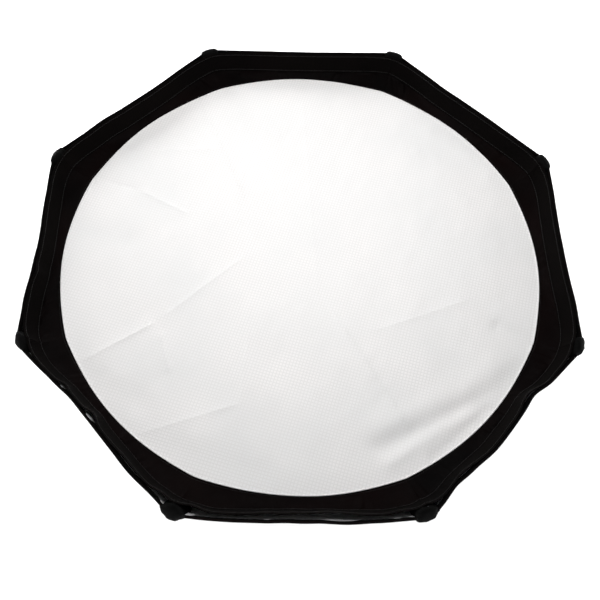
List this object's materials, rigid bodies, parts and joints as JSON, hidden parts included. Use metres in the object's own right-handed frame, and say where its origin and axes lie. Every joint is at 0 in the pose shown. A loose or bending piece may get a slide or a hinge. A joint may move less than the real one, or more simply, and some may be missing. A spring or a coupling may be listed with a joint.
{
  "type": "studio softbox",
  "caption": "Folding octagonal softbox: black cloth shell on hinged sprung ribs, white round-window front diffuser, and a rear bayonet mount that turns.",
  "frame": {"origin": "centre of the rear end of the bayonet mount", "axes": "+Z the way the light leaves, out through the diffuser; +X and +Y through the middles of two flat sides of the rim"},
  "size_m": [0.8886, 0.8886, 0.411],
  "materials": {
    "mount_metal": "satin black die casting",
    "insert_metal": "bright turned",
    "steel": "plain",
    "tab_steel": "red powder coat",
    "runner_plastic": "moulded",
    "knob_plastic": "moulded",
    "pad_plastic": "moulded",
    "crank_metal": "black",
    "rod_glass_fibre": "pultruded glass fibre",
    "cap_plastic": "moulded",
    "seam_tape": "woven tape",
    "shell_cloth": "coated nylon",
    "silver_lining": "metallised lining",
    "hook_strip": "hook-and-loop",
    "border_cloth": "plain nylon",
    "diffuser_cloth": "ripstop",
    "hem_tape": "folded binding",
    "thread": "stitching"
  },
  "bodies": {
    "mount": {"mount_ring": "mount_metal", "insert_retainer": "mount_metal", "retainer_screws": "steel", "hinge_pins": "steel", "guide_posts": "steel", "guide_crown": "mount_metal"},
    "insert": {"bayonet_insert": "insert_metal"},
    "runner": {"runner_ring": "runner_plastic", "runner_pins": "steel", "release_tabs": "tab_steel"},
    "knob": {"lock_knob": "knob_plastic"},
    "pad": {"clamp_pad": "pad_plastic"},
    "rib_1": {"rib_crank_1": "crank_metal", "rib_rod_1": "rod_glass_fibre", "rib_tape_1": "seam_tape"},
    "rib_2": {"rib_crank_2": "crank_metal", "rib_rod_2": "rod_glass_fibre", "rib_tape_2": "seam_tape"},
    "rib_3": {"rib_crank_3": "crank_metal", "rib_rod_3": "rod_glass_fibre", "rib_tape_3": "seam_tape"},
    "rib_4": {"rib_crank_4": "crank_metal", "rib_rod_4": "rod_glass_fibre", "rib_tape_4": "seam_tape"},
    "rib_5": {"rib_crank_5": "crank_metal", "rib_rod_5": "rod_glass_fibre", "rib_tape_5": "seam_tape"},
    "rib_6": {"rib_crank_6": "crank_metal", "rib_rod_6": "rod_glass_fibre", "rib_tape_6": "seam_tape"},
    "rib_7": {"rib_crank_7": "crank_metal", "rib_rod_7": "rod_glass_fibre", "rib_tape_7": "seam_tape"},
    "rib_8": {"rib_crank_8": "crank_metal", "rib_rod_8": "rod_glass_fibre", "rib_tape_8": "seam_tape"},
    "shell_1": {"shell_gore_1": "shell_cloth", "hook_strip_1": "hook_strip"},
    "shell_2": {"shell_gore_2": "shell_cloth", "hook_strip_2": "hook_strip"},
    "shell_3": {"shell_gore_3": "shell_cloth", "hook_strip_3": "hook_strip"},
    "shell_4": {"shell_gore_4": "shell_cloth", "hook_strip_4": "hook_strip"},
    "shell_5": {"shell_gore_5": "shell_cloth", "hook_strip_5": "hook_strip"},
    "shell_6": {"shell_gore_6": "shell_cloth", "hook_strip_6": "hook_strip"},
    "shell_7": {"shell_gore_7": "shell_cloth", "hook_strip_7": "hook_strip"},
    "shell_8": {"shell_gore_8": "shell_cloth", "hook_strip_8": "hook_strip"},
    "front_1": {"diffuser_panel_1": "diffuser_cloth"},
    "front_2": {"diffuser_panel_2": "diffuser_cloth"},
    "front_3": {"diffuser_panel_3": "diffuser_cloth"},
    "front_4": {"diffuser_panel_4": "diffuser_cloth"},
    "front_5": {"diffuser_panel_5": "diffuser_cloth"},
    "front_6": {"diffuser_panel_6": "diffuser_cloth"},
    "front_7": {"diffuser_panel_7": "diffuser_cloth"},
    "front_8": {"diffuser_panel_8": "diffuser_cloth"}
  },
  "joints": [
    {"name": "rib_fold_1", "type": "hinge", "parent": "mount", "child": "rib_1", "pos_m": [0.07761, 0.03214, 0.044], "axis": [0.3827, -0.9239, 0], "range_deg": [0, 45], "deforming": ["shell_gore_1", "hook_strip_1", "diffuser_panel_1", "rib_tape_1", "shell_gore_2", "hook_strip_2", "diffuser_panel_2", "rib_tape_2", "shell_gore_3", "hook_strip_3", "diffuser_panel_3", "rib_tape_3", "shell_gore_4", "hook_strip_4", "diffuser_panel_4", "rib_tape_4", "shell_gore_5", "hook_strip_5", "diffuser_panel_5", "rib_tape_5", "shell_gore_6", "hook_strip_6", "diffuser_panel_6", "rib_tape_6", "shell_gore_7", "hook_strip_7", "diffuser_panel_7", "rib_tape_7", "shell_gore_8", "hook_strip_8", "diffuser_panel_8", "rib_tape_8"]},
    {"name": "rib_fold_2", "type": "hinge", "parent": "mount", "child": "rib_2", "pos_m": [0.03214, 0.07761, 0.044], "axis": [0.9239, -0.3827, 0], "range_deg": [0, 45]},
    {"name": "rib_fold_3", "type": "hinge", "parent": "mount", "child": "rib_3", "pos_m": [-0.03214, 0.07761, 0.044], "axis": [0.9239, 0.3827, 0], "range_deg": [0, 45]},
    {"name": "rib_fold_4", "type": "hinge", "parent": "mount", "child": "rib_4", "pos_m": [-0.07761, 0.03214, 0.044], "axis": [0.3827, 0.9239, 0], "range_deg": [0, 45]},
    {"name": "rib_fold_5", "type": "hinge", "parent": "mount", "child": "rib_5", "pos_m": [-0.07761, -0.03214, 0.044], "axis": [-0.3827, 0.9239, 0], "range_deg": [0, 45]},
    {"name": "rib_fold_6", "type": "hinge", "parent": "mount", "child": "rib_6", "pos_m": [-0.03214, -0.07761, 0.044], "axis": [-0.9239, 0.3827, 0], "range_deg": [0, 45]},
    {"name": "rib_fold_7", "type": "hinge", "parent": "mount", "child": "rib_7", "pos_m": [0.03214, -0.07761, 0.044], "axis": [-0.9239, -0.3827, 0], "range_deg": [0, 45]},
    {"name": "rib_fold_8", "type": "hinge", "parent": "mount", "child": "rib_8", "pos_m": [0.07761, -0.03214, 0.044], "axis": [-0.3827, -0.9239, 0], "range_deg": [0, 45]},
    {"name": "shell_fold_1", "type": "hinge", "parent": "mount", "child": "shell_1", "pos_m": [0.07761, 0, 0.044], "axis": [0, -1, 0], "range_deg": [0, 42.95]},
    {"name": "shell_fold_2", "type": "hinge", "parent": "mount", "child": "shell_2", "pos_m": [0.05488, 0.05488, 0.044], "axis": [0.7071, -0.7071, 0], "range_deg": [0, 42.95]},
    {"name": "shell_fold_3", "type": "hinge", "parent": "mount", "child": "shell_3", "pos_m": [0, 0.07761, 0.044], "axis": [1, 0, 0], "range_deg": [0, 42.95]},
    {"name": "shell_fold_4", "type": "hinge", "parent": "mount", "child": "shell_4", "pos_m": [-0.05488, 0.05488, 0.044], "axis": [0.7071, 0.7071, 0], "range_deg": [0, 42.95]},
    {"name": "shell_fold_5", "type": "hinge", "parent": "mount", "child": "shell_5", "pos_m": [-0.07761, 0, 0.044], "axis": [0, 1, 0], "range_deg": [0, 42.95]},
    {"name": "shell_fold_6", "type": "hinge", "parent": "mount", "child": "shell_6", "pos_m": [-0.05488, -0.05488, 0.044], "axis": [-0.7071, 0.7071, 0], "range_deg": [0, 42.95]},
    {"name": "shell_fold_7", "type": "hinge", "parent": "mount", "child": "shell_7", "pos_m": [0, -0.07761, 0.044], "axis": [-1, 0, 0], "range_deg": [0, 42.95]},
    {"name": "shell_fold_8", "type": "hinge", "parent": "mount", "child": "shell_8", "pos_m": [0.05488, -0.05488, 0.044], "axis": [-0.7071, -0.7071, 0], "range_deg": [0, 42.95]},
    {"name": "front_fold_1", "type": "hinge", "parent": "shell_1", "child": "front_1", "pos_m": [0.42228, 0, 0.36482], "axis": [0, -1, 0], "range_deg": [0, 30.23]},
    {"name": "front_fold_2", "type": "hinge", "parent": "shell_2", "child": "front_2", "pos_m": [0.29859, 0.29859, 0.36482], "axis": [0.7071, -0.7071, 0], "range_deg": [0, 30.23]},
    {"name": "front_fold_3", "type": "hinge", "parent": "shell_3", "child": "front_3", "pos_m": [0, 0.42228, 0.36482], "axis": [1, 0, 0], "range_deg": [0, 30.23]},
    {"name": "front_fold_4", "type": "hinge", "parent": "shell_4", "child": "front_4", "pos_m": [-0.29859, 0.29859, 0.36482], "axis": [0.7071, 0.7071, 0], "range_deg": [0, 30.23]},
    {"name": "front_fold_5", "type": "hinge", "parent": "shell_5", "child": "front_5", "pos_m": [-0.42228, 0, 0.36482], "axis": [0, 1, 0], "range_deg": [0, 30.23]},
    {"name": "front_fold_6", "type": "hinge", "parent": "shell_6", "child": "front_6", "pos_m": [-0.29859, -0.29859, 0.36482], "axis": [-0.7071, 0.7071, 0], "range_deg": [0, 30.23]},
    {"name": "front_fold_7", "type": "hinge", "parent": "shell_7", "child": "front_7", "pos_m": [0, -0.42228, 0.36482], "axis": [-1, 0, 0], "range_deg": [0, 30.23]},
    {"name": "front_fold_8", "type": "hinge", "parent": "shell_8", "child": "front_8", "pos_m": [0.29859, -0.29859, 0.36482], "axis": [-0.7071, -0.7071, 0], "range_deg": [0, 30.23]},
    {"name": "runner_slide", "type": "slide", "parent": "mount", "child": "runner", "axis": [0, 0, -1], "range_m": [0, 0.02072]},
    {"name": "insert_turn", "type": "hinge", "parent": "mount", "child": "insert", "pos_m": [0, 0, 0.012], "axis": [0, 0, 1], "continuous": true},
    {"name": "lock_turn", "type": "hinge", "parent": "mount", "child": "knob", "pos_m": [-0.07071, 0.07071, 0.012], "axis": [-0.7071, 0.7071, 0], "range_deg": [0, 270]},
    {"name": "pad_press", "type": "slide", "parent": "mount", "child": "pad", "axis": [0.7071, -0.7071, 0], "range_m": [0, 0.000526]}
  ],
  "couplings": [
    {"joint": "rib_fold_2", "follows": "rib_fold_1", "ratio": 1},
    {"joint": "rib_fold_3", "follows": "rib_fold_1", "ratio": 1},
    {"joint": "rib_fold_4", "follows": "rib_fold_1", "ratio": 1},
    {"joint": "rib_fold_5", "follows": "rib_fold_1", "ratio": 1},
    {"joint": "rib_fold_6", "follows": "rib_fold_1", "ratio": 1},
    {"joint": "rib_fold_7", "follows": "rib_fold_1", "ratio": 1},
    {"joint": "rib_fold_8", "follows": "rib_fold_1", "ratio": 1},
    {"joint": "shell_fold_1", "follows": "rib_fold_1", "ratio": 0.95439},
    {"joint": "shell_fold_2", "follows": "rib_fold_1", "ratio": 0.95439},
    {"joint": "shell_fold_3", "follows": "rib_fold_1", "ratio": 0.95439},
    {"joint": "shell_fold_4", "follows": "rib_fold_1", "ratio": 0.95439},
    {"joint": "shell_fold_5", "follows": "rib_fold_1", "ratio": 0.95439},
    {"joint": "shell_fold_6", "follows": "rib_fold_1", "ratio": 0.95439},
    {"joint": "shell_fold_7", "follows": "rib_fold_1", "ratio": 0.95439},
    {"joint": "shell_fold_8", "follows": "rib_fold_1", "ratio": 0.95439},
    {"joint": "front_fold_1", "follows": "rib_fold_1", "ratio": 0.67176},
    {"joint": "front_fold_2", "follows": "rib_fold_1", "ratio": 0.67176},
    {"joint": "front_fold_3", "follows": "rib_fold_1", "ratio": 0.67176},
    {"joint": "front_fold_4", "follows": "rib_fold_1", "ratio": 0.67176},
    {"joint": "front_fold_5", "follows": "rib_fold_1", "ratio": 0.67176},
    {"joint": "front_fold_6", "follows": "rib_fold_1", "ratio": 0.67176},
    {"joint": "front_fold_7", "follows": "rib_fold_1", "ratio": 0.67176},
    {"joint": "front_fold_8", "follows": "rib_fold_1", "ratio": 0.67176},
    {"joint": "runner_slide", "follows": "rib_fold_1", "m_per_rad": 0.02637},
    {"joint": "pad_press", "follows": "lock_turn", "m_per_rad": 0.00011141}
  ]
}
